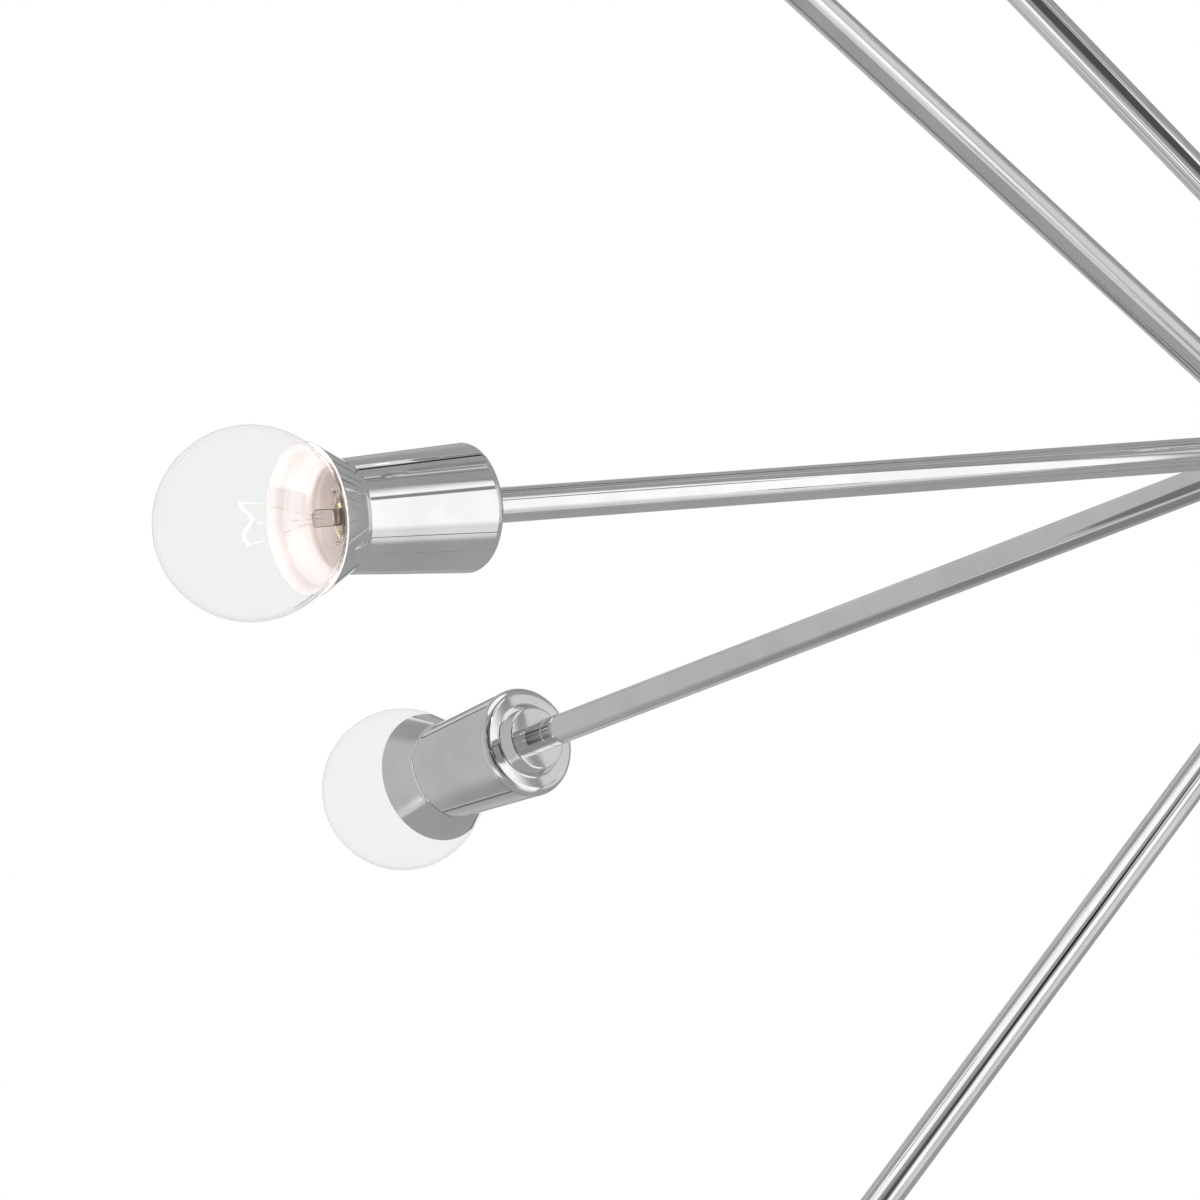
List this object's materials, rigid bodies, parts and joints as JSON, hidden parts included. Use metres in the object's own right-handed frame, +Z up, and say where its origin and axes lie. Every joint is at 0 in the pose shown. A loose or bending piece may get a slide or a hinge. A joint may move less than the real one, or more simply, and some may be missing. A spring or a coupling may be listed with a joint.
{
  "type": "sputnik chandelier",
  "caption": "Ceiling light with straight tube arms radiating from a two-ball hub, each ending in a flared metal cup with a clear globe bulb, hung on a stem from a round canopy.",
  "frame": {"origin": "centre of the crossbar's outlet box slots, on the ceiling plane", "axes": "+Z up into the ceiling, +X along the crossbar and along the hub from the left ball to the right ball, +Y across them"},
  "size_m": [0.8018, 0.8736, 0.8121],
  "materials": {
    "tube_chrome": "mirror-polished plating on brass tube",
    "cup_chrome": "mirror-polished plating on spun metal",
    "hub_chrome": "mirror-polished plating",
    "canopy_chrome": "mirror-polished plating",
    "bulb_glass": "clear blown glass",
    "bulb_base_metal": "plain rolled brass",
    "socket_insulator": "matt moulded insulator",
    "socket_brass": "plain stamped brass",
    "plated_nut": "bright zinc plating",
    "galvanised_strap": "galvanised strap"
  },
  "bodies": {
    "ceiling_mount": {"crossbar": "galvanised_strap", "nipple": "plated_nut", "nipple_nut": "plated_nut", "canopy": "canopy_chrome", "canopy_studs": "plated_nut", "canopy_knobs": "canopy_chrome"},
    "swivel": {"swivel_fork": "hub_chrome", "swivel_pin": "plated_nut"},
    "fixture": {"swivel_tongue": "hub_chrome", "upper_stem": "tube_chrome", "stem_coupling": "hub_chrome", "lower_stem": "tube_chrome", "hub_tee": "hub_chrome", "hub_ball_left": "hub_chrome", "hub_ball_right": "hub_chrome", "hub_plugs": "hub_chrome", "head_locknuts": "plated_nut", "socket_insulators": "socket_insulator", "socket_screw_shells": "socket_brass", "socket_contacts": "socket_brass", "arm_01": "tube_chrome", "arm_02": "tube_chrome", "arm_03": "tube_chrome", "arm_04": "tube_chrome", "arm_05": "tube_chrome", "arm_06": "tube_chrome", "arm_07": "tube_chrome", "arm_08": "tube_chrome", "arm_09": "tube_chrome", "arm_10": "tube_chrome", "cup_shell_01": "cup_chrome", "cup_shell_02": "cup_chrome", "cup_shell_03": "cup_chrome", "cup_shell_04": "cup_chrome", "cup_shell_05": "cup_chrome", "cup_shell_06": "cup_chrome", "cup_shell_07": "cup_chrome", "cup_shell_08": "cup_chrome", "cup_shell_09": "cup_chrome", "cup_shell_10": "cup_chrome"},
    "bulb_01": {"bulb_glass_01": "bulb_glass", "bulb_base_01": "bulb_base_metal"},
    "bulb_02": {"bulb_glass_02": "bulb_glass", "bulb_base_02": "bulb_base_metal"},
    "bulb_03": {"bulb_glass_03": "bulb_glass", "bulb_base_03": "bulb_base_metal"},
    "bulb_04": {"bulb_glass_04": "bulb_glass", "bulb_base_04": "bulb_base_metal"},
    "bulb_05": {"bulb_glass_05": "bulb_glass", "bulb_base_05": "bulb_base_metal"},
    "bulb_06": {"bulb_glass_06": "bulb_glass", "bulb_base_06": "bulb_base_metal"},
    "bulb_07": {"bulb_glass_07": "bulb_glass", "bulb_base_07": "bulb_base_metal"},
    "bulb_08": {"bulb_glass_08": "bulb_glass", "bulb_base_08": "bulb_base_metal"},
    "bulb_09": {"bulb_glass_09": "bulb_glass", "bulb_base_09": "bulb_base_metal"},
    "bulb_10": {"bulb_glass_10": "bulb_glass", "bulb_base_10": "bulb_base_metal"}
  },
  "joints": [
    {"name": "swivel_turn", "type": "hinge", "parent": "ceiling_mount", "child": "swivel", "pos_m": [0, 0, -0.0243], "axis": [0, 0, 1], "range_deg": [-175, 175]},
    {"name": "swivel_tilt", "type": "hinge", "parent": "swivel", "child": "fixture", "pos_m": [0, 0, -0.0413], "axis": [0, 1, 0], "range_deg": [-40, 40]},
    {"name": "bulb_turn_01", "type": "hinge", "parent": "fixture", "child": "bulb_01", "pos_m": [-0.27482, -0.02464, -0.33804], "axis": [-0.803, -0.0801, 0.5906], "range_deg": [0, 1080]},
    {"name": "bulb_turn_02", "type": "hinge", "parent": "fixture", "child": "bulb_02", "pos_m": [-0.15981, 0.1024, -0.29884], "axis": [-0.611, 0.3331, 0.7181], "range_deg": [0, 1080]},
    {"name": "bulb_turn_03", "type": "hinge", "parent": "fixture", "child": "bulb_03", "pos_m": [-0.33538, 0, -0.51958], "axis": [-1, 0, 0], "range_deg": [0, 1080]},
    {"name": "bulb_turn_04", "type": "hinge", "parent": "fixture", "child": "bulb_04", "pos_m": [-0.06266, 0.37368, -0.65027], "axis": [-0.0872, 0.9403, -0.3289], "range_deg": [0, 1080]},
    {"name": "bulb_turn_05", "type": "hinge", "parent": "fixture", "child": "bulb_05", "pos_m": [-0.27853, -0.0719, -0.76204], "axis": [-0.7714, -0.1809, -0.6101], "range_deg": [0, 1080]},
    {"name": "bulb_turn_06", "type": "hinge", "parent": "fixture", "child": "bulb_06", "pos_m": [0.27482, 0.02464, -0.33804], "axis": [0.803, 0.0801, 0.5906], "range_deg": [0, 1080]},
    {"name": "bulb_turn_07", "type": "hinge", "parent": "fixture", "child": "bulb_07", "pos_m": [0.15981, -0.1024, -0.29884], "axis": [0.611, -0.3331, 0.7181], "range_deg": [0, 1080]},
    {"name": "bulb_turn_08", "type": "hinge", "parent": "fixture", "child": "bulb_08", "pos_m": [0.33538, 0, -0.51958], "axis": [1, 0, 0], "range_deg": [0, 1080]},
    {"name": "bulb_turn_09", "type": "hinge", "parent": "fixture", "child": "bulb_09", "pos_m": [0.06266, -0.37368, -0.65027], "axis": [0.0872, -0.9403, -0.3289], "range_deg": [0, 1080]},
    {"name": "bulb_turn_10", "type": "hinge", "parent": "fixture", "child": "bulb_10", "pos_m": [0.27853, 0.0719, -0.76204], "axis": [0.7714, 0.1809, -0.6101], "range_deg": [0, 1080]}
  ]
}
